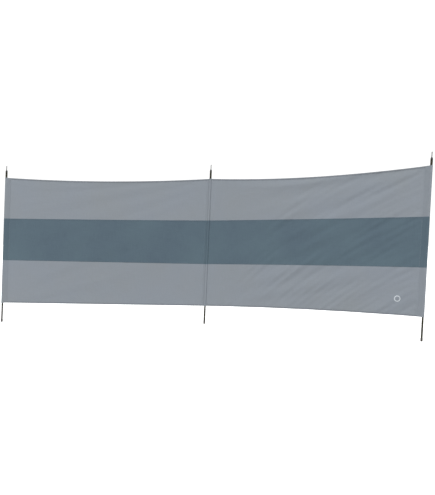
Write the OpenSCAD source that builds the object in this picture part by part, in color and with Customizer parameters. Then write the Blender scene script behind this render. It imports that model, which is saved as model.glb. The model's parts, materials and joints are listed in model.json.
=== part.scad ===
// Two-bay beach windbreak: three two-part steel poles standing in the sleeves of
// a cloth of three sewn bands. The bays meet at an angle on the middle pole, and
// the whole stands with its poles leaning a little along the cloth.
// Origin: centre of the middle pole's foot, on the ground. +X runs along the
// cloth, -Y is the side that the two bays close in on, +Z is up.

/* [Layout] */
// Distance between neighbouring poles
pole_spacing = 1955; // [900:5:2600]
// Angle of each bay away from a straight line
bay_angle = 12; // [0:1:40]
// Lean of all the poles from the vertical, along the cloth
pole_lean = 2.5; // [0:0.5:8]

/* [Cloth] */
// Height of the cloth along a pole
cloth_h = 1200; // [600:10:1600]
// Thickness of a cloth panel
cloth_t = 2; // [1.6:0.2:4]
// Height of the top and bottom hems
hem_h = 15; // [10:1:40]
// Thickness of the hems
hem_t = 3; // [2:0.2:5]
// Height of the cloth above the left foot, the middle foot and the right foot
cloth_lift = [185, 170, 194]; // [120:1:240]
// Lower seam at the left, middle and right poles, as a share of the cloth's height
lower_seam = [0.342, 0.33, 0.328]; // [0.2:0.002:0.48]
// Upper seam at the left, middle and right poles, as a share of the cloth's height
upper_seam = [0.676, 0.674, 0.664]; // [0.52:0.002:0.8]
// Dip of the top edge halfway along the left bay and the right bay
top_sag = [29, 37]; // [0:1:50]
// Rise of the bottom edge halfway along the left bay and the right bay
bottom_rise = [0, 14]; // [0:1:40]
// Seam line of an outer sleeve, measured from its pole
sleeve_seam = 42; // [25:1:80]
// Thickness of the cloth round a pole
sleeve_t = 2.2; // [1:0.1:4]
// Gap between a sleeve and the thicker tube in it
sleeve_gap = 0.3; // [0.2:0.1:1]
// Gap between the middle sleeve and the panels beside it
panel_gap = 0.3; // [0.2:0.1:1]

/* [Poles] */
// How much longer a pole is than the cloth is high, up to the end of its tube
pole_extra = 240; // [220:10:500]
// Diameter of the upper tube
upper_d = 19; // [14:0.5:30]
// Wall of both tubes
tube_wall = 1; // [0.6:0.1:1.5]
// Gap all round the lower tube where it slides in the upper one
tube_gap = 0.5; // [0.3:0.1:1]
// Length of the lower tube inside the upper tube
tube_overlap = 90; // [40:5:200]
// Depth of the joining groove pressed into the upper tube's end
crimp_depth = 0.4; // [0.2:0.1:0.6]

/* [Fittings] */
// Diameter of the spike on top of a pole
spike_d = 7; // [4:0.5:10]
// Length of the spike above the end of the tube, shoulder and all
spike_len = 63; // [35:1:100]
// Diameter of the spike's root in the pole plug
root_d = 4.5; // [3:0.5:8]
// Length of the spike inside the pole plug
spike_root = 22; // [10:1:40]
// Height of the plug's tapered shoulder above the tube
shoulder_h = 18; // [4:0.5:24]
// Depth of the plug inside the upper tube
plug_depth = 30; // [15:1:60]
// Height of the foot cap on the lower tube
foot_h = 26; // [15:1:50]
// Wall of the foot cap round the tube
foot_wall = 1.4; // [1:0.1:3]
// Floor of the foot cap under the tube
foot_floor = 4; // [2.5:0.5:8]

/* [Hidden] */
$fn = 48;

steel_dark = [0.30, 0.29, 0.20];
zinc = [0.55, 0.56, 0.57];
black = [0.16, 0.16, 0.17];
light_cloth = [0.55, 0.58, 0.61];
dark_cloth = [0.36, 0.43, 0.47];

// Poles
LEFT = 0;
MIDDLE = 1;
RIGHT = 2;
// Lines along the cloth, from its bottom edge to its top edge
BOTTOM_EDGE = 0;
LOWER_SEAM = 1;
UPPER_SEAM = 2;
TOP_EDGE = 3;
// Bands of the cloth. A band lies between the line of its own number and the next one.
LOW = 0;
MID = 1;
TOP = 2;

fit_gap = 0.3;                                   // radial gap of a plug or a narrowed tube end
lines = [[0, 0, 0], lower_seam, upper_seam, [1, 1, 1]];   // shares of the cloth's height
pole_len = cloth_h + pole_extra;
lower_d = upper_d - 2 * tube_wall - 2 * tube_gap;
lower_len = (pole_len + tube_overlap) / 2;       // both tubes are equally long when packed
sleeve_in_r = upper_d / 2 + sleeve_gap;
sleeve_r = sleeve_in_r + sleeve_t;
panel_start = sleeve_r + panel_gap;              // from the middle pole's axis
panel_end = pole_spacing - sleeve_seam;          // where a panel meets its outer sleeve
edge_steps = 24;                                 // straight pieces along a curved edge

// The poles' own frame has its Z along the poles. It turns about Y onto the ground
// frame, so a foot that is level with the middle one lies higher or lower in it.
function side_x(i) = (i - MIDDLE) * pole_spacing * cos(bay_angle);
function side_y(i) = -abs(i - MIDDLE) * pole_spacing * sin(bay_angle);
function ground_at(x) = x * tan(pole_lean);
function foot_z(i) = ground_at(side_x(i));
function cloth_z(i) = foot_z(i) + cloth_lift[i];

// One bay's outer pole, 0 for the left bay and 1 for the right one
function outer(bay) = bay == 0 ? LEFT : RIGHT;

// Height of one of the lines at a distance s from the middle pole. Between the poles an edge
// is bowed as a parabola, and the bow fades towards the other edge.
function between(bay, s, values) =
    values[MIDDLE] + (values[outer(bay)] - values[MIDDLE]) * s / pole_spacing;
function bow(s) = 4 * (s / pole_spacing) * (1 - s / pole_spacing);
function line_z(bay, s, line) =
    let (v = between(bay, s, lines[line]))
    between(bay, s, [for (i = [LEFT : RIGHT]) cloth_z(i)]) + v * cloth_h
    - top_sag[bay] * bow(s) * pow(v, 6)
    + bottom_rise[bay] * bow(s) * pow(1 - v, 3);

// Foot and height of one band on a pole
function band_z(i, band) = cloth_z(i) + lines[band][i] * cloth_h;
function band_h(i, band) = (lines[band + 1][i] - lines[band][i]) * cloth_h;

// Moves children from the poles' frame to the ground frame
module leaned() {
    rotate([0, pole_lean, 0])
        children();
}

// Places children, drawn with X running out from the middle pole, in one bay
module in_bay(bay) {
    leaned()
        rotate([0, 0, bay == 0 ? 180 + bay_angle : -bay_angle])
            children();
}

// Places children at one pole's foot, with Z up the pole
module at_pole(i) {
    leaned()
        translate([side_x(i), side_y(i), foot_z(i)])
            children();
}

// The space under the ground round a pole's foot
module under_ground(i) {
    big = 4 * upper_d;
    at = [side_x(i) / cos(pole_lean), side_y(i), 0];
    translate(at - [big / 2, big / 2, big])
        cube(big);
}

// A tube from the height low to the height high
module tube(d, low, high) {
    translate([0, 0, low])
        difference() {
            cylinder(d = d, h = high - low);
            translate([0, 0, -1])
                cylinder(d = d - 2 * tube_wall, h = high - low + 2);
        }
}

// Plastic cap on the foot, with its underside cut level on the ground
module foot_cap(i) {
    color(black)
        difference() {
            at_pole(i)
                translate([0, 0, -2])
                    rotate_extrude()
                        polygon([[0, 0], [lower_d / 2 + foot_wall, 0],
                                 [lower_d / 2 + foot_wall, foot_h + 1],
                                 [lower_d / 2 + foot_wall - 1, foot_h + 2],
                                 [lower_d / 2, foot_h + 2],
                                 [lower_d / 2, foot_floor + 2], [0, foot_floor + 2]]);
            under_ground(i);
        }
}

module lower_tube(i) {
    color(steel_dark)
        at_pole(i)
            tube(lower_d, foot_floor, lower_len);
}

// The upper tube's end is narrowed over the lower tube, which stops it from rattling
module upper_tube(i) {
    start = lower_len - tube_overlap;
    neck_r = lower_d / 2 + fit_gap;
    neck_h = 14;
    groove_at = start + 3 * neck_h;
    color(steel_dark)
        at_pole(i)
            rotate_extrude()
                polygon([[neck_r, start], [neck_r + tube_wall, start],
                         [upper_d / 2, start + neck_h],
                         [upper_d / 2, groove_at - 2],
                         [upper_d / 2 - crimp_depth, groove_at],
                         [upper_d / 2, groove_at + 2],
                         [upper_d / 2, pole_len],
                         [upper_d / 2 - tube_wall, pole_len],
                         [upper_d / 2 - tube_wall, start + neck_h],
                         [neck_r, start + neck_h - 2]]);
}

// Plug in the top of a pole, with the tapered shoulder that an eyelet rests on
module plug(i) {
    stem_r = upper_d / 2 - tube_wall - fit_gap;
    color(black)
        at_pole(i)
            rotate_extrude()
                polygon([[0, pole_len - plug_depth], [stem_r, pole_len - plug_depth],
                         [stem_r, pole_len], [upper_d / 2, pole_len],
                         [upper_d / 2, pole_len + shoulder_h / 3],
                         [spike_d * 0.8, pole_len + shoulder_h],
                         [root_d / 2, pole_len + shoulder_h],
                         [root_d / 2, pole_len + shoulder_h - spike_root],
                         [0, pole_len + shoulder_h - spike_root]]);
}

// Spike with a thinner root, so that its shaft stands on the plug's shoulder
module spike(i) {
    tip_r = spike_d / 2;
    color(zinc)
        at_pole(i) {
            translate([0, 0, pole_len + shoulder_h - spike_root])
                cylinder(d = root_d, h = spike_root + 1);
            translate([0, 0, pole_len + shoulder_h])
                cylinder(r = tip_r, h = spike_len - shoulder_h - tip_r);
            translate([0, 0, pole_len + spike_len - tip_r])
                sphere(r = tip_r);
        }
}

// Outline of an outer sleeve round its pole, closing to the hem's thickness at the seam
function sleeve_outline() =
    let (slope = asin(sleeve_r / norm([sleeve_seam, hem_t / 2])) - atan(hem_t / 2 / sleeve_seam),
         sweep = 180 + 2 * slope,
         arc_steps = 24)
    concat([[-sleeve_seam, hem_t / 2]],
           [for (k = [0 : arc_steps])
               let (turn = 90 + slope - k * sweep / arc_steps)
               [sleeve_r * cos(turn), sleeve_r * sin(turn)]],
           [[-sleeve_seam, -hem_t / 2]]);

module outer_sleeve(bay, band) {
    color(band == MID ? dark_cloth : light_cloth)
        in_bay(bay)
            translate([pole_spacing, 0, band_z(outer(bay), band)])
                difference() {
                    linear_extrude(height = band_h(outer(bay), band))
                        polygon(sleeve_outline());
                    translate([0, 0, -1])
                        cylinder(r = sleeve_in_r, h = band_h(outer(bay), band) + 2);
                }
}

// Round sleeve on the middle pole, which the right bay folds about
module middle_sleeve(band) {
    color(band == MID ? dark_cloth : light_cloth)
        leaned()
            translate([0, 0, band_z(MIDDLE, band)])
                difference() {
                    cylinder(r = sleeve_r, h = band_h(MIDDLE, band));
                    translate([0, 0, -1])
                        cylinder(r = sleeve_in_r, h = band_h(MIDDLE, band) + 2);
                }
}

// A strip of one bay between two of the lines, each shifted up by some millimetres
module strip(bay, low_line, low_shift, high_line, high_shift, t) {
    step = (panel_end - panel_start) / edge_steps;
    stations = [for (k = [0 : edge_steps]) panel_start + k * step];
    low = [for (s = stations) [s, line_z(bay, s, low_line) + low_shift]];
    high = [for (k = [edge_steps : -1 : 0])
            [stations[k], line_z(bay, stations[k], high_line) + high_shift]];
    in_bay(bay)
        translate([0, t / 2, 0])
            rotate([90, 0, 0])
                linear_extrude(height = t)
                    polygon(concat(low, high));
}

module bottom_hem(bay) {
    color(light_cloth)
        strip(bay, BOTTOM_EDGE, 0, BOTTOM_EDGE, hem_h, hem_t);
}

module lower_band(bay) {
    color(light_cloth)
        strip(bay, BOTTOM_EDGE, hem_h, LOWER_SEAM, 0, cloth_t);
}

module middle_band(bay) {
    color(dark_cloth)
        strip(bay, LOWER_SEAM, 0, UPPER_SEAM, 0, cloth_t);
}

module upper_band(bay) {
    color(light_cloth)
        strip(bay, UPPER_SEAM, 0, TOP_EDGE, -hem_h, cloth_t);
}

module top_hem(bay) {
    color(light_cloth)
        strip(bay, TOP_EDGE, -hem_h, TOP_EDGE, 0, hem_t);
}

foot_cap(LEFT);  // left_foot_cap
lower_tube(LEFT);  // left_lower_tube
upper_tube(LEFT);  // left_upper_tube
plug(LEFT);  // left_plug
spike(LEFT);  // left_spike
foot_cap(MIDDLE);  // middle_foot_cap
lower_tube(MIDDLE);  // middle_lower_tube
upper_tube(MIDDLE);  // middle_upper_tube
plug(MIDDLE);  // middle_plug
spike(MIDDLE);  // middle_spike
foot_cap(RIGHT);  // right_foot_cap
lower_tube(RIGHT);  // right_lower_tube
upper_tube(RIGHT);  // right_upper_tube
plug(RIGHT);  // right_plug
spike(RIGHT);  // right_spike
outer_sleeve(0, LOW);  // left_sleeve_low
outer_sleeve(0, MID);  // left_sleeve_mid
outer_sleeve(0, TOP);  // left_sleeve_top
middle_sleeve(LOW);  // middle_sleeve_low
middle_sleeve(MID);  // middle_sleeve_mid
middle_sleeve(TOP);  // middle_sleeve_top
outer_sleeve(1, LOW);  // right_sleeve_low
outer_sleeve(1, MID);  // right_sleeve_mid
outer_sleeve(1, TOP);  // right_sleeve_top
bottom_hem(0);  // left_bottom_hem
lower_band(0);  // left_lower_band
middle_band(0);  // left_middle_band
upper_band(0);  // left_upper_band
top_hem(0);  // left_top_hem
bottom_hem(1);  // right_bottom_hem
lower_band(1);  // right_lower_band
middle_band(1);  // right_middle_band
upper_band(1);  // right_upper_band
top_hem(1);  // right_top_hem
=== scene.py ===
import json
import math

import bmesh
import bpy
import numpy as np
from mathutils import Matrix, Vector


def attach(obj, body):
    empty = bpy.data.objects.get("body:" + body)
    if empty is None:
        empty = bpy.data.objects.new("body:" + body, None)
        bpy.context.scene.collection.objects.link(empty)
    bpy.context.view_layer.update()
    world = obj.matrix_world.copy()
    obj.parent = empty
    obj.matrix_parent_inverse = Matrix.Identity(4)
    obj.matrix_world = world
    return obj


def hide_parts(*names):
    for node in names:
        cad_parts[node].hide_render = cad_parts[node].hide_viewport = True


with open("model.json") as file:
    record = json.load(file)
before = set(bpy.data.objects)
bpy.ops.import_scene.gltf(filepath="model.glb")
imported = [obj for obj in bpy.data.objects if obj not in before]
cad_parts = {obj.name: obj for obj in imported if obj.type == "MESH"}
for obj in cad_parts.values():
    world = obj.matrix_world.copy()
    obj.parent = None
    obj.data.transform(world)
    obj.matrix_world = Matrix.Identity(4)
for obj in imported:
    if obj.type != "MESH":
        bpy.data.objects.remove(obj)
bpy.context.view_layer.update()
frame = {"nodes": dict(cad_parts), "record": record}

# Sizes are in metres. s runs out along a bay from the middle pole's axis, and z runs
# up along the poles, which lean. v is a share of the cloth's height.
MM = 0.001

# Cloth
CLOTH_T = 0.6 * MM  # one layer
GRID = 8 * MM  # spacing of the mesh points on the cloth
THREAD_PITCH = 0.8 * MM  # of the weave
EDGE_SOFT = 1.2 * MM  # width over which a strip's edge thins out
SHARP_EDGE = math.radians(40)
HEM_T = 1.9 * MM  # three layers, pressed flat
SEAM_H = 12 * MM  # felled seam between two bands
SEAM_T = 1.5 * MM
SEAM_LINES = {"upper": (2 / 3, -SEAM_H, 0.0), "lower": (1 / 3, 0.0, SEAM_H)}  # v, from and to
HEM_PAINTED_SHADE = 0.8  # painted shade: cloth in layers lets less light through, so its colour is darkened to this share of a single layer's colour
# painted shade as well, for the felled seams and the outer sleeves, which lie in layers
SEAM_PAINTED_SHADE = 0.95
SLEEVE_PAINTED_SHADE = 0.985
HEM_SWELL = 0.4 * MM  # how far a hem thickens each face of a sleeve's ends
SWELL_OVER = 2 * MM  # and the height over which that begins
BANDS = ("lower", "middle", "upper")
BAND_SLOT = {"lower": "light_cloth", "middle": "blue_cloth", "upper": "light_cloth"}
SLEEVE_END = {"lower": "low", "middle": "mid", "upper": "top"}  # in the names of CAD nodes

# Sleeves
TURNED_EDGE = 8 * MM  # what an outer sleeve's cloth reaches past its seam line at the back
OUTER_R = 10.9 * MM  # to the middle of the cloth's thickness, round an outer pole
OUTER_RIPPLE = 0.7 * MM
MIDDLE_R = 11.4 * MM  # to the outside of the middle sleeve
MIDDLE_RIPPLE = 0.1 * MM
MIDDLE_SWELL = 0.1 * MM  # the hem on its outside, which the right bay turns about
LAP_FROM = {"left": 11.2 * MM, "right": 12.0 * MM}  # s of the strip that joins bay and sleeve
LAP_TO = {"left": 34 * MM, "right": 18 * MM}
# painted shade: the left lap beside the middle sleeve is darkened, the right one keeps the cloth's
# colour
LAP_PAINTED_SHADE = {"left": 0.95, "right": 1.0}

# Stitches
PITCH = 4 * MM
STITCH = Vector((2.9 * MM, 0.75 * MM, 0.4 * MM))  # length, width, height above the cloth
HEM_INSET = 3 * MM  # a row's distance from the edge of what it sews
SEAM_INSET = 2 * MM
SLEEVE_INSET = 2.5 * MM
SLEEVE_ROW_GAP = 4 * MM  # between the two rows beside an outer sleeve

# Cloth simulation of each bay
SIM_COLUMNS = 140
SIM_ROWS = 90
SIM_FRAMES = 36
SIM_SEED = 3
START_WAVES = 40  # waves in the cloth before it is pulled
START_HEIGHT = 0.3 * MM  # of each
START_TURNS = (20, 90)  # radians per metre
START_HEADINGS = (0.6, 2.6)  # radians
GATHER = {"left": 0.006, "right": 0.016}  # how much an outer pole bunches the cloth along it
RELIEF = {"left": 0.09, "right": 0.24}  # share of the simulated folds that the taut cloth keeps

# Fine creases, made as sums of waves
CREASES = {"left": 0.05 * MM, "right": 0.82 * MM}  # their usual height
CREASE_WAVES = 16
CREASE_PITCH = (0.046, 0.1)
CREASE_SLOPE = 0.42  # how steeply they rise towards the outer pole at the cloth's top
CREASE_FAN = 0.26  # how much more steeply at its bottom
CREASE_STRAY = 0.1  # how far one wave's slope may lie from that
BROAD_PITCH = 0.27  # of the one broad wave near the cloth's bottom
BROAD_SHARE = 4  # its height, as a multiple of the usual one
BROAD_PHASE = 2.2

# Printed ring near the right bay's lower outer corner
RING_S = 1.752
RING_V = 0.115
RING_R = 25 * MM
RING_W = 7 * MM
INK_T = 0.35 * MM  # thickness of the ink
INK_SUNK = 0.1 * MM  # how much of it lies in the cloth

MOUNTS = {m["name"]: m for m in frame["record"]["mounts"]}
COLOURS = {m["slot"]: m["base_color"] for m in frame["record"]["materials"]}
TINTS = {"light_cloth": (0.265, 0.287, 0.305), "blue_cloth": (0.087, 0.123, 0.160)}  # in patches
RUBBED_STEEL = (0.16, 0.15, 0.1)
SCUFFED_PLASTIC = (0.09, 0.09, 0.09)
SAND = (0.32, 0.27, 0.19)
THREAD_DARK, THREAD_PALE = (0.19, 0.22, 0.25), (0.22, 0.25, 0.28)
INK, WORN_INK = (0.62, 0.66, 0.70), (0.36, 0.39, 0.43)
FLOOR_DARK, FLOOR_PALE = (0.58, 0.58, 0.58), (0.62, 0.62, 0.62)
UP = Vector(MOUNTS["middle_spike"]["axis"]).normalized()

# Studio
CAMERA_PLACE = (1.5095, -5.2222, 0.8406)
CAMERA_TURN = (-14.808, 1.240, -0.130)  # yaw to the right, pitch down and roll, in degrees
LENS_MM = 41.83
SENSOR_MM = 36
LIGHT_SPREAD = 11  # degrees across, which makes it soft
WORLD_LIGHT = 0.15
WORLD_SEEN = 1.1  # a little over white, so that the denoised backdrop stays white
FLOOR_HALF = 40


# ---------------------------------------------------------------- the frame's own sizes


def node_points(node):
    """The vertices of a CAD node."""
    return np.array([v.co for v in frame["nodes"][node].data.vertices])


def reach(node, direction):
    """How low and how high a CAD node reaches along a direction, from the origin."""
    along = node_points(node) @ np.array(direction)
    return float(along.min()), float(along.max())


class Bay:
    """The directions and the cloth surface of one bay, as its CAD nodes have them."""

    def __init__(self, side):
        foot = Vector(MOUNTS[f"{side}_foot"]["pos_m"])
        flat = foot - foot.dot(UP) * UP
        self.side = side
        self.body = f"{side}_bay"
        self.spacing = flat.length
        self.along = flat.normalized()
        self.front = self.along.cross(UP)
        if self.front.y > 0:
            self.front.negate()
        self.middle_z = reach("middle_sleeve_low", UP)[0]
        self.outer_z = reach(f"{side}_sleeve_low", UP)[0]
        self.height = reach("middle_sleeve_top", UP)[1] - self.middle_z
        self.start, self.end = reach(f"{side}_middle_band", self.along)
        self.seams = [self.seam_shares(end) for end in ("low", "mid")]
        self.relief = np.zeros((SIM_ROWS + 1, SIM_COLUMNS + 1))
        _, self.top_bow = self.edge_bow(f"{side}_top_hem", 1)
        self.hem_h, self.bottom_bow = self.edge_bow(f"{side}_bottom_hem", 0)

    def seam_shares(self, end):
        """Where a seam between two bands lies on the middle and the outer pole, as shares of
        the cloth's height: the top of that band's sleeve."""
        middle, outer = (reach(f"{side}_sleeve_{end}", UP)[1] for side in ("middle", self.side))
        return (middle - self.middle_z) / self.height, (outer - self.outer_z) / self.height

    def bow(self, s):
        """Shape of an edge that hangs between two poles: 0 at each pole, 1 at mid-bay."""
        t = np.clip(s / self.spacing, 0, 1)
        return 4 * t * (1 - t)

    def edge_bow(self, hem, v):
        """The height of a hem, and how far its edge (v = 1 at the top, 0 at the bottom) lies above
        a straight line at mid-bay."""
        points = node_points(hem)
        s, z = points @ np.array(self.along), points @ np.array(UP)
        nearest = s[np.argmin(abs(s - self.spacing / 2))]
        column = z[abs(s - nearest) < MM]
        edge = column.max() if v else column.min()
        straight = self.middle_z + (self.outer_z - self.middle_z) * nearest / self.spacing
        return column.max() - column.min(), (edge - straight - v * self.height) / self.bow(nearest)

    def z(self, s, v):
        """Height along UP of the cloth's line v at s. v is 1/3 and 2/3 on the two seams, which
        don't divide the height quite evenly."""
        t = np.clip(s / self.spacing, 0, 1)
        low, high = (middle + (outer - middle) * t for middle, outer in self.seams)
        share = np.where(v < 1 / 3, 3 * v * low, low + (3 * v - 1) * (high - low))
        share = np.where(v > 2 / 3, high + (3 * v - 2) * (1 - high), share)
        straight = self.middle_z + (self.outer_z - self.middle_z) * t + share * self.height
        # The top edge's dip dies out soon below it, and the bottom edge's rise less soon above it.
        bowed = self.top_bow * share**6 + self.bottom_bow * (1 - share) ** 3
        return straight + self.bow(s) * bowed

    def fold(self, s, v):
        """How far the cloth stands out to the front at (s, v), with its folds and creases."""
        rows, columns = self.relief.shape
        x, v = np.clip((s - self.start) / (self.end - self.start), 0, 1), np.clip(v, 0, 1)
        return cubic_sample(self.relief, v * (rows - 1), x * (columns - 1)) + creases(self, x, v)

    def points(self, s, z, depth):
        """Points at arrays s, z (height along UP) and depth (how far out to the front)."""
        s, z, depth = (np.asarray(a, float)[..., None] for a in np.broadcast_arrays(s, z, depth))
        return s * np.array(self.along) + z * np.array(UP) + depth * np.array(self.front)

    def surface(self, s, v, shift=0.0, depth=0.0):
        """Points of the cloth at arrays s and v, shifted up the cloth and out to the front."""
        s, v = np.broadcast_arrays(np.asarray(s, float), np.asarray(v, float))
        at = v + shift / self.height
        return self.points(s, self.z(s, v) + shift, self.fold(s, at) + depth)

    def stations(self, start=None):
        """Even steps of s, from the panel's inner edge or another start to its outer edge."""
        start = self.start if start is None else start
        return np.linspace(start, self.end, max(2, round((self.end - start) / GRID) + 1))

    def rows(self, low, high):
        """Even steps of v from one line to another."""
        return np.linspace(low, high, round((high - low) * self.height / GRID) + 1)


def cubic_weights(f):
    """Catmull-Rom weights of the four points round a share f of one step."""
    return np.stack([
        -0.5 * f + f**2 - 0.5 * f**3,
        1 - 2.5 * f**2 + 1.5 * f**3,
        0.5 * f + 2 * f**2 - 1.5 * f**3,
        -0.5 * f**2 + 0.5 * f**3,
    ])


def cubic_sample(grid, row, column):
    """Smooth values of a grid at fractional rows and columns."""
    row, column = np.broadcast_arrays(row, column)
    r0 = np.clip(np.floor(row).astype(int), 0, grid.shape[0] - 2)
    c0 = np.clip(np.floor(column).astype(int), 0, grid.shape[1] - 2)
    wr, wc = cubic_weights(row - r0), cubic_weights(column - c0)
    total = np.zeros(row.shape)
    for i in range(4):
        for j in range(4):
            r = np.clip(r0 + i - 1, 0, grid.shape[0] - 1)
            c = np.clip(c0 + j - 1, 0, grid.shape[1] - 1)
            total += wr[i] * wc[j] * grid[r, c]
    return total


# ---------------------------------------------------------------- folds in the taut cloth


def start_waves(x, z):
    """Slight unevenness of the cloth before it is pulled into place, the same each run."""
    rng = np.random.default_rng(SIM_SEED)
    phase = rng.uniform(0, 2 * math.pi, START_WAVES)
    waves = rng.uniform(*START_TURNS, START_WAVES)
    heading = rng.uniform(*START_HEADINGS, START_WAVES)
    total = np.zeros(x.shape)
    for p, k, a in zip(phase, waves, heading):
        total += np.sin(k * (x * math.cos(a) + z * math.sin(a)) + p)
    return START_HEIGHT * total


def simulate(bay):
    """Pulls a flat panel, held along both poles, into the bay's skewed place. Gives back how far
    it folds out to the front."""
    width, rise = bay.end - bay.start, bay.outer_z - bay.middle_z
    x, v = np.meshgrid(np.linspace(0, 1, SIM_COLUMNS + 1), np.linspace(0, 1, SIM_ROWS + 1))
    wave = start_waves(x * width, v * bay.height)
    wave[:, [0, -1]] = 0
    flat = np.stack([x * width, wave, v * bay.height], -1).reshape(-1, 3)
    bunched = GATHER[bay.side] * x * v * bay.height
    pulled = flat + np.outer((x * rise - bunched).ravel(), (0, 0, 1))
    columns = SIM_COLUMNS + 1
    corners = [j * columns + i for j in range(SIM_ROWS) for i in range(SIM_COLUMNS)]
    mesh = bpy.data.meshes.new("sim")
    mesh.from_pydata(flat, [], [(c, c + 1, c + 1 + columns, c + columns) for c in corners])
    cloth = bpy.data.objects.new("sim", mesh)
    bpy.context.scene.collection.objects.link(cloth)
    cloth.shape_key_add(name="flat")
    key = cloth.shape_key_add(name="pulled")
    key.data.foreach_set("co", pulled.ravel())
    for value, at in ((0, 1), (1, SIM_FRAMES // 2)):
        key.value = value
        key.keyframe_insert("value", frame=at)
    held = cloth.vertex_groups.new(name="held")
    at_poles = [j * columns + i for j in range(SIM_ROWS + 1) for i in (0, SIM_COLUMNS)]
    held.add(at_poles, 1, "REPLACE")
    modifier = cloth.modifiers.new("cloth", "CLOTH")
    cloth_settings(modifier)
    for at in range(1, SIM_FRAMES + 1):
        bpy.context.scene.frame_set(at)
    done = cloth.evaluated_get(bpy.context.evaluated_depsgraph_get()).to_mesh()
    co = np.zeros(len(flat) * 3)
    done.vertices.foreach_get("co", co)
    bpy.context.scene.frame_set(1)
    bpy.data.objects.remove(cloth)
    return -co.reshape(SIM_ROWS + 1, columns, 3)[..., 1]


def cloth_settings(modifier):
    """Light, closely woven cloth that gives a little on the bias."""
    s = modifier.settings
    s.quality = 6
    s.mass = 0.01
    s.bending_model = "ANGULAR"
    s.tension_stiffness = 40
    s.compression_stiffness = 3
    s.shear_stiffness = 8
    s.bending_stiffness = 0.01
    s.tension_damping = s.compression_damping = s.shear_damping = 5
    s.bending_damping = 0.5
    s.air_damping = 1
    s.vertex_group_mass = "held"
    modifier.collision_settings.use_collision = False
    modifier.collision_settings.use_self_collision = False
    modifier.point_cache.frame_start = 1
    modifier.point_cache.frame_end = SIM_FRAMES


def smooth_step(low, high, value):
    """0 up to low, 1 from high on, and an even bend between them."""
    t = np.clip((value - low) / (high - low), 0, 1)
    return t * t * (3 - 2 * t)


def creases(bay, x, v):
    """Fine folds that run up to the outer pole, flatter near the top, and leave the cloth beside
    the middle pole smooth. x is a share of the panel's width, and v one of its height."""
    rng = np.random.default_rng(SIM_SEED)
    inward = (1 - x) * bay.spacing
    across = v * bay.height + inward * (CREASE_SLOPE + CREASE_FAN * (1 - v))
    total = np.zeros(np.broadcast(x, v).shape)
    for _ in range(CREASE_WAVES):
        pitch, stray = rng.uniform(*CREASE_PITCH), rng.uniform(-CREASE_STRAY, CREASE_STRAY)
        k = 2 * math.pi / pitch
        total += np.sin(k * (across + stray * inward) + rng.uniform(0, 2 * math.pi))
    fine = total * math.sqrt(2 / CREASE_WAVES) * (1.5 - 0.5 * v)  # deeper lower down
    near_bottom = smooth_step(-0.45, -0.05, -v)
    broad = BROAD_SHARE * np.sin(2 * math.pi * across / BROAD_PITCH + BROAD_PHASE) * near_bottom
    away_from_middle = smooth_step(0.01 + 0.22 * v, 0.24 + 0.41 * v, x)
    away_from_outer = smooth_step(0, 0.05, inward)
    return CREASES[bay.side] * (fine + broad) * (away_from_middle * away_from_outer)


def shape_folds(bay):
    """A bay's folds. The right bay is smooth beside the middle pole, and folds further out."""
    folds = simulate(bay)
    share = np.linspace(0, 1, SIM_COLUMNS + 1)
    if bay.side == "right":
        folds = folds * (0.15 + 0.85 * smooth_step(0.08, 0.5, share))
    return RELIEF[bay.side] * folds


# ---------------------------------------------------------------- meshes


def loft(name, rings, slot, body, tone=1.0, caps=True):
    """A closed skin through equal rings of points, shaped (rings, points, 3). A ring goes out on
    one side and comes back on the other, so each end is closed by quads between the two."""
    rings = np.asarray(rings)
    n, m = rings.shape[:2]
    faces = [
        (a * m + b, a * m + (b + 1) % m, (a + 1) * m + (b + 1) % m, (a + 1) * m + b)
        for a in range(n - 1) for b in range(m)
    ]
    lengths = np.linalg.norm(np.roll(rings[0], -1, 0) - rings[0], axis=1)
    around = np.concatenate([[0], np.cumsum(lengths)])
    steps = np.linalg.norm(np.diff(rings.mean(1), axis=0), axis=1)
    out = np.concatenate([[0], np.cumsum(steps)])
    uv = [
        c for a in range(n - 1) for b in range(m)
        for c in ((out[a], around[b]), (out[a], around[b + 1]),
                  (out[a + 1], around[b + 1]), (out[a + 1], around[b]))
    ]
    if caps:
        pairs = range(m // 2 - 1)
        last = (n - 1) * m
        near = [(i, m - 1 - i, m - 2 - i, i + 1) for i in pairs]
        faces += near + [tuple(last + i for i in reversed(f)) for f in near]
        uv += [(out[0], around[i]) for f in near for i in f]
        uv += [(out[-1], around[i]) for f in near for i in reversed(f)]
    return piece(name, rings.reshape(-1, 3), faces, slot, body, uv, tone)


def piece(name, points, faces, slot, body, uv=None, tone=1.0):
    """A smooth-shaded mesh object that rides on a body and takes its finish from a slot. Cloth
    that lies in two or three layers lets less light through, and has a tone under 1: painted shade
    that darkens its colour."""
    mesh = bpy.data.meshes.new(name)
    mesh.from_pydata(np.asarray(points), [], faces)
    if uv is not None:
        layer = mesh.uv_layers.new(name="Weave")
        layer.data.foreach_set("uv", np.array(uv, np.float32).ravel())
    recalculate_normals(mesh)
    mesh.shade_smooth()
    mesh.set_sharp_from_angle(angle=SHARP_EDGE)
    made = bpy.data.objects.new(name, mesh)
    bpy.context.scene.collection.objects.link(made)
    mesh.materials.append(material(slot, tone))
    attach(made, body)
    return made


def recalculate_normals(mesh):
    """Turns every face of a closed mesh outward."""
    work = bmesh.new()
    work.from_mesh(mesh)
    bmesh.ops.recalc_face_normals(work, faces=work.faces)
    work.to_mesh(mesh)
    work.free()


def there_and_back(front, back):
    """A ring from the points of the front, and then those of the back in the other order."""
    return np.concatenate([front, back[::-1]])


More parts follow.
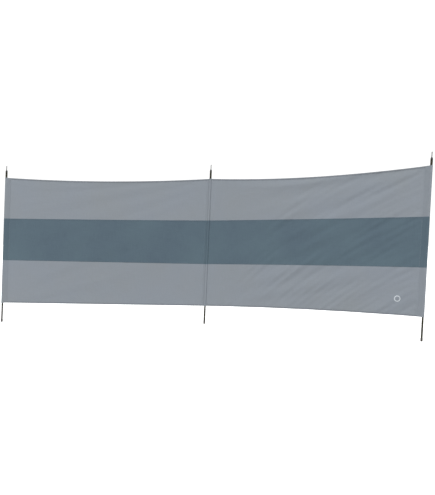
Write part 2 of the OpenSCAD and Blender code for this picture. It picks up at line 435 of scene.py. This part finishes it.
def panel(bay, band):
    """One band of cloth, from the lap beside the middle sleeve to the outer sleeve's seam."""
    low, high = band_range(band)
    inset = bay.hem_h / 2 / bay.height
    low = low + (inset if band == "lower" else 0)
    high = high - (inset if band == "upper" else 0)
    v, half = bay.rows(low, high), CLOTH_T / 2
    rings = [
        there_and_back(bay.surface(s, v, depth=half), bay.surface(s, v, depth=-half))
        for s in bay.stations()
    ]
    made = loft(f"{bay.side}_{band}_cloth", rings, BAND_SLOT[band], bay.body)
    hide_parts(f"{bay.side}_{band}_band")
    return made


def band_range(band):
    """The lines v between which a band lies."""
    n = BANDS.index(band)
    return n / 3, (n + 1) / 3


def strip(name, bay, v, section, slot, tone):
    """A long narrow piece along the line v. Its section is a list of (shift up, depth) points."""
    shift, depth = np.array(section).T
    rings = [bay.surface(s, v, shift, depth) for s in bay.stations()]
    return loft(name, rings, slot, bay.body, tone)


def pillow_section(low, high, thickness):
    """Section of a flat strip with soft edges, up its front and down its back."""
    half = thickness / 2
    soft = min(EDGE_SOFT, (high - low) / 4)
    front = [(low, 0.3 * half), (low + soft, half), ((low + high) / 2, 1.05 * half),
             (high - soft, half), (high, 0.3 * half)]
    return front + [(shift, -depth) for shift, depth in reversed(front)]


def hem(bay, edge):
    """The cloth's top or bottom edge, turned in twice and sewn down."""
    v = 1 if edge == "top" else 0
    low, high = (-bay.hem_h, 0) if v else (0, bay.hem_h)
    name = f"{bay.side}_{edge}_hem_fold"
    # the hem's three layers are darkened as painted shade
    made = strip(name, bay, v, pillow_section(low, high, HEM_T), "light_cloth", HEM_PAINTED_SHADE)
    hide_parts(f"{bay.side}_{edge}_hem")
    return made


def seam(bay, line):
    """The felled seam between two bands, which lies on the middle band's side of the line."""
    v, low, high = SEAM_LINES[line]
    section = pillow_section(low, high, SEAM_T)
    # the seam's layers are darkened as painted shade
    return strip(f"{bay.side}_{line}_seam", bay, v, section, "blue_cloth", SEAM_PAINTED_SHADE)


def lap(bay, band):
    """The strip of the middle sleeve's cloth that is sewn to a panel."""
    section = pillow_section(LAP_FROM[bay.side], LAP_TO[bay.side], SEAM_T)
    rings = [
        [bay.surface(s, v, depth=depth) for s, depth in section]
        for v in bay.rows(*band_range(band))
    ]
    # the left lap's colour is darkened as painted shade
    return loft(f"{bay.side}_lap_{band}", rings, BAND_SLOT[band], bay.body, LAP_PAINTED_SHADE[bay.side])


def sleeve_rows(bay, band):
    """Heights up one band of a sleeve, as shares v, and how much the hem thickens each."""
    v = bay.rows(*band_range(band))
    edge = np.minimum(v, 1 - v) * bay.height
    thicker = np.clip((bay.hem_h - edge) / SWELL_OVER, 0, 1)
    return v, thicker


def middle_sleeve(bay, band):
    """The round sleeve on the middle pole, which the right bay turns about."""
    v, thicker = sleeve_rows(bay, band)
    turn = np.linspace(0, 2 * math.pi, 40, endpoint=False)
    rings = []
    for share, thick in zip(v, thicker):
        ripple = MIDDLE_RIPPLE * np.sin(3 * turn + 30 * share) * math.sin(9 * share)
        outer = MIDDLE_R + MIDDLE_SWELL * thick + ripple
        inner = MIDDLE_R - CLOTH_T - HEM_SWELL * thick
        z = bay.z(0, share)
        rings.append([bay.points(r * np.cos(turn), z, r * np.sin(turn)) for r in (outer, inner)])
    made = tube_wall(f"middle_sleeve_{band}", rings, BAND_SLOT[band], bay.body)
    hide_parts(f"middle_sleeve_{SLEEVE_END[band]}")
    return made


def tube_wall(name, rings, slot, body):
    """A tube with a wall, from pairs of outer and inner rings up its height."""
    outer, inner = np.array([r[0] for r in rings]), np.array([r[1] for r in rings])
    up_and_down = np.concatenate([outer, inner[::-1]])
    n, m = up_and_down.shape[:2]
    faces = [
        (a * m + b, a * m + (b + 1) % m, (a + 1) % n * m + (b + 1) % m, (a + 1) % n * m + b)
        for a in range(n) for b in range(m)
    ]
    width = 2 * math.pi * MIDDLE_R / m
    uv = [
        (GRID * (a + i), width * (b + j))
        for a in range(n) for b in range(m) for i, j in ((0, 0), (0, 1), (1, 1), (1, 0))
    ]
    return piece(name, up_and_down.reshape(-1, 3), faces, slot, body, uv)


def sleeve_path(bay, seam_at):
    """Section of an outer sleeve's cloth round its pole: (along the bay, depth) points, from the
    turned edge on the back, round the pole, to the seam line on the front."""
    slope = math.asin((OUTER_R - CLOTH_T) / seam_at)
    turns = np.linspace(-math.pi / 2 - slope, math.pi / 2 + slope, 25)
    arc = [(OUTER_R * math.cos(a), OUTER_R * math.sin(a)) for a in turns]
    turned_edge = np.array((-seam_at - TURNED_EDGE, -CLOTH_T))
    seam_back, seam_front = np.array((-seam_at, -CLOTH_T)), np.array((-seam_at, CLOTH_T))
    back = [turned_edge, *towards(seam_back, np.array(arc[0]), 6)]
    front = towards(np.array(arc[-1]), seam_front, 6)
    return np.array([*back, *arc[1:-1], *front])


def towards(a, b, steps):
    """Even steps from point a to point b, with both ends."""
    return [a + (b - a) * t for t in np.linspace(0, 1, steps)]


def outer_sleeve(bay, band):
    """Cloth of one band wrapped round an outer pole and sewn back to itself at the seam line."""
    seam_at = bay.spacing - bay.end
    path = sleeve_path(bay, seam_at)
    tangent = np.gradient(path, axis=0)
    normal = np.stack([tangent[:, 1], -tangent[:, 0]], 1)
    normal /= np.linalg.norm(normal, axis=1)[:, None]
    slack = np.sin(math.pi * np.clip((path[:, 0] + seam_at) / seam_at, 0, 1)) ** 2
    v, thicker = sleeve_rows(bay, band)
    rings = []
    for share, thick in zip(v, thicker):
        ripple = OUTER_RIPPLE * slack * math.sin(47 * share + 2 * math.sin(13 * share))
        half = CLOTH_T / 2 + HEM_SWELL * thick
        section = [path + normal * (ripple + way * half)[:, None] for way in (1, -1)]
        ring = there_and_back(*section)
        s = bay.spacing + ring[:, 0]
        rings.append(bay.points(s, bay.z(s, share), ring[:, 1]))
    # the sleeve's layers are darkened as painted shade
    made = loft(f"{bay.side}_sleeve_{band}", rings, BAND_SLOT[band], bay.body, SLEEVE_PAINTED_SHADE)
    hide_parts(f"{bay.side}_sleeve_{SLEEVE_END[band]}")
    return made


# ---------------------------------------------------------------- stitches and the print


def stitches(line, out):
    """Vertices and faces of a row of raised stitches along a line of points. out is the way
    that the cloth faces there."""
    line = np.asarray(line)
    steps = np.linalg.norm(np.diff(line, axis=0), axis=1)
    run = np.concatenate([[0], np.cumsum(steps)])
    at = np.arange(PITCH / 2, run[-1], PITCH)
    centre = np.stack([np.interp(at, run, line[:, k]) for k in range(3)], 1)
    ahead = np.gradient(centre, axis=0)
    ahead /= np.linalg.norm(ahead, axis=1)[:, None]
    out = np.array(out)
    side = np.cross(out, ahead)
    foot, crown = (1.0, -0.3), (0.55, 1.0)
    points = []
    for share, lift in (foot, crown):
        for x, y in ((-1, -1), (1, -1), (1, 1), (-1, 1)):
            points.append(centre + ahead * (x * share * STITCH.x / 2)
                          + side * (y * share * STITCH.y / 2) + out * (lift * STITCH.z))
    points = np.stack(points, 1).reshape(-1, 3)
    box = ((0, 3, 2, 1), (4, 5, 6, 7), (0, 1, 5, 4), (1, 2, 6, 5), (2, 3, 7, 6), (3, 0, 4, 7))
    faces = [tuple(8 * i + c for c in f) for i in range(len(centre)) for f in box]
    return points, faces


def joined(parts):
    """One list of vertices and faces from several."""
    points, faces, count = [], [], 0
    for p, f in parts:
        points.append(p)
        faces += [tuple(i + count for i in face) for face in f]
        count += len(p)
    return np.concatenate(points), faces


def bay_stitching(bay):
    """Every row of stitches on a bay, on both faces of the cloth."""
    lap_to = LAP_TO[bay.side]
    s = bay.stations(lap_to + SEAM_INSET)
    v = np.linspace(0.004, 0.996, 150)
    near_seam = bay.end - SLEEVE_INSET
    rows = []
    for way in (1, -1):
        out = way * bay.front
        hem_depth, seam_depth = way * HEM_T / 2, way * SEAM_T / 2
        rows.append(stitches(bay.surface(s, 1, -bay.hem_h + HEM_INSET, hem_depth), out))
        rows.append(stitches(bay.surface(s, 0, bay.hem_h - HEM_INSET, hem_depth), out))
        for share, low, high in SEAM_LINES.values():
            for shift in (low + SEAM_INSET, high - SEAM_INSET):
                rows.append(stitches(bay.surface(s, share, shift, seam_depth), out))
        rows.append(stitches(bay.surface(lap_to - SEAM_INSET, v, depth=seam_depth), out))
        # on the panel's face in front, and on the sleeve's turned edge behind it
        sleeve_depth = CLOTH_T / 2 if way > 0 else -1.5 * CLOTH_T
        for gap in (0, SLEEVE_ROW_GAP):
            rows.append(stitches(bay.surface(near_seam - gap, v, depth=sleeve_depth), out))
    points, faces = joined(rows)
    return piece(f"{bay.side}_stitching", points, faces, "thread", bay.body)


def ring_print(bay):
    """A plain pale ring printed on the cloth."""
    hole_r = RING_R - RING_W
    bottom = CLOTH_T / 2 - INK_SUNK
    top = bottom + INK_T
    rings = []
    for a in np.linspace(0, 2 * math.pi, 72, endpoint=False):
        corners = ((hole_r, bottom), (hole_r, top), (RING_R, top), (RING_R, bottom))
        rings.append([
            bay.surface(RING_S + r * math.cos(a), RING_V, r * math.sin(a), depth)
            for r, depth in corners
        ])
    rings.append(rings[0])
    return loft("ring_print", np.array(rings), "print", bay.body, caps=False)


# ---------------------------------------------------------------- materials


def new_material(name):
    """A material with its nodes, links and main shader."""
    made = bpy.data.materials.new(name)
    made.use_nodes = True
    tree = made.node_tree
    return made, tree.nodes, tree.links, tree.nodes["Principled BSDF"]


def add(nodes, kind, **inputs):
    """A node with the named input values and settings."""
    node = nodes.new(kind)
    for key, value in inputs.items():
        if key in node.inputs:
            node.inputs[key].default_value = value
        else:
            setattr(node, key, value)
    return node


def noise(nodes, links, coordinates, scale, detail=3.0, stretch=(1, 1, 1)):
    """A noise value, stretched along the axes of its coordinates."""
    mapping = add(nodes, "ShaderNodeMapping", Scale=stretch)
    links.new(coordinates, mapping.inputs["Vector"])
    node = add(nodes, "ShaderNodeTexNoise", Scale=scale, Detail=detail)
    links.new(mapping.outputs["Vector"], node.inputs["Vector"])
    return node.outputs["Fac"]


def ramp(nodes, links, value, low, high, to=(0.0, 1.0)):
    """value from low..high to the range in to, held at its ends."""
    node = add(nodes, "ShaderNodeMapRange")
    node.inputs["From Min"].default_value = low
    node.inputs["From Max"].default_value = high
    node.inputs["To Min"].default_value = to[0]
    node.inputs["To Max"].default_value = to[1]
    links.new(value, node.inputs["Value"])
    return node.outputs["Result"]


def math_node(nodes, links, operation, a, b):
    """A calculation with two numbers or sockets."""
    node = add(nodes, "ShaderNodeMath", operation=operation)
    for socket, value in zip(node.inputs, (a, b)):
        if isinstance(value, (int, float)):
            socket.default_value = value
        else:
            links.new(value, socket)
    return node.outputs[0]


def mixed(nodes, links, fac, a, b):
    """A colour between two colours or colour sockets."""
    node = nodes.new("ShaderNodeMix")
    node.data_type = "RGBA"
    for socket, value in ((node.inputs["Factor"], fac), (node.inputs[6], a), (node.inputs[7], b)):
        if isinstance(value, bpy.types.NodeSocket):
            links.new(value, socket)
        elif isinstance(value, tuple):
            socket.default_value = (*value, 1)
        else:
            socket.default_value = value
    return node.outputs[2]


def scaled(colour, k):
    """A colour made darker or lighter."""
    return tuple(min(1.0, c * k) for c in colour)


def bump(nodes, links, shader, height, distance, strength, under=None):
    """Gives a shader relief from a height, over the relief that is already under it."""
    node = add(nodes, "ShaderNodeBump", Distance=distance, Strength=strength)
    links.new(height, node.inputs["Height"])
    if under is not None:
        links.new(under, node.inputs["Normal"])
    links.new(node.outputs["Normal"], shader.inputs["Normal"])
    return node.outputs["Normal"]


def weave_height(nodes, links, uv, pitch):
    """Plain weave: threads of the warp and the weft pass over each other in turn."""
    axes = add(nodes, "ShaderNodeSeparateXYZ")
    links.new(uv, axes.inputs[0])
    turns = math.pi / pitch
    sines = []
    for axis in ("X", "Y"):
        phase = math_node(nodes, links, "MULTIPLY", axes.outputs[axis], turns)
        sines.append(math_node(nodes, links, "SINE", phase, 0))
    over = math_node(nodes, links, "MULTIPLY", *sines)
    crowns = [math_node(nodes, links, "ABSOLUTE", s, 0) for s in sines]
    thread = math_node(nodes, links, "MAXIMUM", *crowns)
    raised = math_node(nodes, links, "MULTIPLY", over, 0.35)
    return math_node(nodes, links, "ADD", thread, raised)


def cloth_material(slot, tone):
    """Closely woven polyester: threads, uneven yarns, faint patches of tint, painted shade between
    the threads and a slight sheen.
    """
    made, nodes, links, shader = new_material(f"{slot}_{round(100 * tone)}")
    # a tone under 1 is painted shade: it darkens the colour and the tint of cloth in layers
    colour = scaled(COLOURS[slot], tone)
    tint = scaled(TINTS[slot], tone)
    coordinates = nodes.new("ShaderNodeTexCoord")
    uv, place = coordinates.outputs["UV"], coordinates.outputs["Object"]
    weave = weave_height(nodes, links, uv, THREAD_PITCH)
    slub_along = noise(nodes, links, uv, 40, 2, (0.25, 9, 1))
    slub_up = noise(nodes, links, uv, 40, 2, (9, 0.25, 1))
    slub = math_node(nodes, links, "ADD", slub_along, slub_up)
    patches = noise(nodes, links, place, 2.2, 4)
    dust = noise(nodes, links, place, 55, 5)
    toned = mixed(nodes, links, ramp(nodes, links, patches, 0.3, 0.7), colour, tint)
    toned = mixed(nodes, links, ramp(nodes, links, slub, 0.8, 1.2, (0, 0.5)), toned,
                  scaled(colour, 1.1))
    # painted shade: the colour darkens between the threads of the weave, where they shade each
    # other
    toned = mixed(nodes, links, ramp(nodes, links, weave, 0.2, 1.2, (0.16, 0)), toned,
                  scaled(colour, 0.55))
    links.new(toned, shader.inputs["Base Color"])
    rough = ramp(nodes, links, math_node(nodes, links, "ADD", slub, dust), 0.9, 1.9, (0.74, 0.92))
    links.new(rough, shader.inputs["Roughness"])
    shader.inputs["Sheen Weight"].default_value = 0.04
    shader.inputs["Sheen Roughness"].default_value = 0.6
    shader.inputs["Specular IOR Level"].default_value = 0.2
    crinkle = noise(nodes, links, place, 30, 3)
    under = bump(nodes, links, shader, crinkle, 2.5 * MM, 0.35)
    under = bump(nodes, links, shader, slub, 0.3 * MM, 0.3, under)
    bump(nodes, links, shader, weave, 0.25 * MM, 0.5, under)
    return made


def steel_material(slot):
    """Dark bronze powder coat: fine orange peel, long sliding marks and paler rubbed patches."""
    made, nodes, links, shader = new_material(slot)
    colour = tuple(COLOURS[slot])
    place = nodes.new("ShaderNodeTexCoord").outputs["Object"]
    marks = noise(nodes, links, place, 60, 4, (9, 9, 0.35))
    patches = noise(nodes, links, place, 7, 4)
    peel = noise(nodes, links, place, 900, 2)
    toned = mixed(nodes, links, ramp(nodes, links, patches, 0.35, 0.7), scaled(colour, 0.45),
                  scaled(colour, 0.8))
    toned = mixed(nodes, links, ramp(nodes, links, marks, 0.6, 0.75, (0, 0.4)), toned,
                  RUBBED_STEEL)
    links.new(toned, shader.inputs["Base Color"])
    links.new(ramp(nodes, links, marks, 0.3, 0.75, (0.36, 0.62)), shader.inputs["Roughness"])
    shader.inputs["Metallic"].default_value = 0.35
    shader.inputs["Coat Weight"].default_value = 0.05
    under = bump(nodes, links, shader, marks, 0.2 * MM, 0.2)
    bump(nodes, links, shader, peel, 0.12 * MM, 0.35, under)
    return made


def zinc_material(slot):
    """Zinc-plated steel: drawn lines, cloudy tone and a few dull spots."""
    made, nodes, links, shader = new_material(slot)
    colour = tuple(COLOURS[slot])
    place = nodes.new("ShaderNodeTexCoord").outputs["Object"]
    drawn = noise(nodes, links, place, 300, 3, (6, 6, 0.2))
    cloud = noise(nodes, links, place, 90, 4)
    toned = mixed(nodes, links, ramp(nodes, links, cloud, 0.4, 0.7), scaled(colour, 0.62),
                  scaled(colour, 1.0))
    links.new(toned, shader.inputs["Base Color"])
    links.new(ramp(nodes, links, cloud, 0.3, 0.7, (0.28, 0.5)), shader.inputs["Roughness"])
    shader.inputs["Metallic"].default_value = 1.0
    bump(nodes, links, shader, drawn, 0.1 * MM, 0.3)
    return made


def plastic_material(slot):
    """Moulded black plastic with a fine grain, scuffed and dusted with sand near the ground."""
    made, nodes, links, shader = new_material(slot)
    colour = tuple(COLOURS[slot])
    place = nodes.new("ShaderNodeTexCoord").outputs["Object"]
    grain = noise(nodes, links, place, 1500, 2)
    scuffs = noise(nodes, links, place, 220, 4, (1, 1, 0.3))
    height = add(nodes, "ShaderNodeSeparateXYZ")
    links.new(place, height.inputs[0])
    low = ramp(nodes, links, height.outputs["Z"], 0.0, 0.03, (0.5, 0))
    sandy = math_node(nodes, links, "MULTIPLY", low, ramp(nodes, links, scuffs, 0.35, 0.65))
    toned = mixed(nodes, links, ramp(nodes, links, scuffs, 0.55, 0.75, (0, 0.5)), colour,
                  SCUFFED_PLASTIC)
    toned = mixed(nodes, links, sandy, toned, SAND)
    links.new(toned, shader.inputs["Base Color"])
    links.new(ramp(nodes, links, scuffs, 0.3, 0.7, (0.42, 0.68)), shader.inputs["Roughness"])
    bump(nodes, links, shader, grain, 0.1 * MM, 0.4)
    return made


def thread_material(name):
    """Twisted grey sewing thread."""
    made, nodes, links, shader = new_material(name)
    place = nodes.new("ShaderNodeTexCoord").outputs["Object"]
    twist = noise(nodes, links, place, 900, 2)
    tone = noise(nodes, links, place, 12, 2)
    toned = mixed(nodes, links, ramp(nodes, links, tone, 0.3, 0.7), THREAD_DARK, THREAD_PALE)
    links.new(toned, shader.inputs["Base Color"])
    links.new(ramp(nodes, links, twist, 0.3, 0.7, (0.5, 0.75)), shader.inputs["Roughness"])
    bump(nodes, links, shader, twist, 0.1 * MM, 0.3)
    return made


def print_material(name):
    """Pale ink on cloth, thin enough for the threads to show, with a few worn specks."""
    made, nodes, links, shader = new_material(name)
    place = nodes.new("ShaderNodeTexCoord").outputs["Object"]
    worn = noise(nodes, links, place, 350, 4)
    toned = mixed(nodes, links, ramp(nodes, links, worn, 0.6, 0.72), INK, WORN_INK)
    links.new(toned, shader.inputs["Base Color"])
    links.new(ramp(nodes, links, worn, 0.3, 0.7, (0.55, 0.8)), shader.inputs["Roughness"])
    bump(nodes, links, shader, worn, 0.1 * MM, 0.3)
    return made


def floor_material(name):
    """Plain floor that shows white to the camera and throws only a little light back up."""
    made, nodes, links, shader = new_material(name)
    place = nodes.new("ShaderNodeTexCoord").outputs["Object"]
    tone = noise(nodes, links, place, 1.5, 3)
    toned = mixed(nodes, links, tone, FLOOR_DARK, FLOOR_PALE)
    links.new(toned, shader.inputs["Base Color"])
    shader.inputs["Roughness"].default_value = 0.9
    shader.inputs["Emission Color"].default_value = (1, 1, 1, 1)
    ray = nodes.new("ShaderNodeLightPath")
    links.new(ray.outputs["Is Camera Ray"], shader.inputs["Emission Strength"])
    return made


MAKERS = {
    "bronze_steel": steel_material,
    "zinc_steel": zinc_material,
    "black_plastic": plastic_material,
    "thread": thread_material,
    "print": print_material,
    "floor": floor_material,
}
made_materials = {}


def material(name, tone=1.0):
    """The material for a slot, made once for each tone of painted shade."""
    if (name, tone) not in made_materials:
        made = MAKERS[name](name) if name in MAKERS else cloth_material(name, tone)
        made_materials[name, tone] = made
    return made_materials[name, tone]


def finish_poles():
    """The CAD's tubes, plugs, spikes and caps keep their meshes and get their real finish."""
    slots = {"lower_tube": "bronze_steel", "upper_tube": "bronze_steel", "spike": "zinc_steel",
             "plug": "black_plastic", "foot_cap": "black_plastic"}
    for side in ("left", "middle", "right"):
        for part, slot in slots.items():
            node = frame["nodes"][f"{side}_{part}"]
            node.data.materials.clear()
            node.data.materials.append(material(slot))


# ---------------------------------------------------------------- studio


def make_camera():
    """Stands in front of the right bay at waist height, turned to the left, nearly level."""
    yaw, pitch, roll = (math.radians(a) for a in CAMERA_TURN)
    level = math.cos(pitch)
    ahead = Vector((math.sin(yaw) * level, math.cos(yaw) * level, -math.sin(pitch)))
    right = Vector((math.cos(yaw), -math.sin(yaw), 0))
    down = ahead.cross(right)
    x = math.cos(roll) * right + math.sin(roll) * down
    y = math.sin(roll) * right - math.cos(roll) * down
    data = bpy.data.cameras.new("camera")
    data.lens = LENS_MM
    data.sensor_width = SENSOR_MM
    camera = bpy.data.objects.new("camera", data)
    turn = Matrix((x, y, -ahead)).transposed().to_4x4()
    camera.matrix_world = Matrix.Translation(CAMERA_PLACE) @ turn
    bpy.context.scene.collection.objects.link(camera)
    bpy.context.scene.camera = camera


def make_light(name, place, strength):
    """A wide, soft light, as from far away, that shines from a place towards the origin."""
    data = bpy.data.lights.new(name, "SUN")
    data.angle = math.radians(LIGHT_SPREAD)
    data.energy = strength
    light = bpy.data.objects.new(name, data)
    light.location = place
    light.rotation_euler = (-Vector(place)).to_track_quat("-Z", "Y").to_euler()
    bpy.context.scene.collection.objects.link(light)


def make_world():
    """White backdrop for the camera, and dim white light for everything else."""
    world = bpy.data.worlds.new("world")
    bpy.context.scene.world = world
    world.use_nodes = True
    nodes, links = world.node_tree.nodes, world.node_tree.links
    light = nodes["Background"]
    light.inputs["Strength"].default_value = WORLD_LIGHT
    light.inputs["Color"].default_value = (0.97, 0.985, 1, 1)
    seen = add(nodes, "ShaderNodeBackground", Color=(1, 1, 1, 1), Strength=WORLD_SEEN)
    ray = nodes.new("ShaderNodeLightPath")
    either = nodes.new("ShaderNodeMixShader")
    links.new(ray.outputs["Is Camera Ray"], either.inputs[0])
    links.new(light.outputs[0], either.inputs[1])
    links.new(seen.outputs[0], either.inputs[2])
    links.new(either.outputs[0], nodes["World Output"].inputs["Surface"])


def make_floor():
    mesh = bpy.data.meshes.new("floor")
    signs = ((-1, -1), (1, -1), (1, 1), (-1, 1))
    mesh.from_pydata([(FLOOR_HALF * x, FLOOR_HALF * y, 0) for x, y in signs], [], [(0, 1, 2, 3)])
    floor = bpy.data.objects.new("floor", mesh)
    mesh.materials.append(material("floor"))
    bpy.context.scene.collection.objects.link(floor)


def make_studio():
    make_world()
    make_floor()
    make_light("key", (0.4, -11.0, 11.8), 2.87)
    make_light("back", (-3.0, 11.0, 8.8), 2.4)
    bpy.context.scene.view_settings.view_transform = "Standard"
    make_camera()


# ---------------------------------------------------------------- the whole


def sew_bay(bay):
    """Every piece of cloth of one bay. The pieces sewn on each band are gathered in a table that
    nothing reads.
    """
    bay.relief = shape_folds(bay)
    cloths = {band: panel(bay, band) for band in BANDS}
    hems = {edge: hem(bay, edge) for edge in ("top", "bottom")}
    seams = {line: seam(bay, line) for line in ("upper", "lower")}
    laps = {band: lap(bay, band) for band in BANDS}
    stitching = bay_stitching(bay)
    sewn = {
        "lower": [hems["bottom"], laps["lower"], stitching],
        "middle": [seams["lower"], laps["middle"]],
        "upper": [hems["top"], seams["upper"], laps["upper"]],
    }
    if bay.side == "right":
        sewn["lower"].append(ring_print(bay))
    for band in BANDS:
        made = outer_sleeve(bay, band)


bays = [Bay("left"), Bay("right")]
for one in bays:
    sew_bay(one)
for one in BANDS:
    tube = middle_sleeve(bays[0], one)
finish_poles()
make_studio()
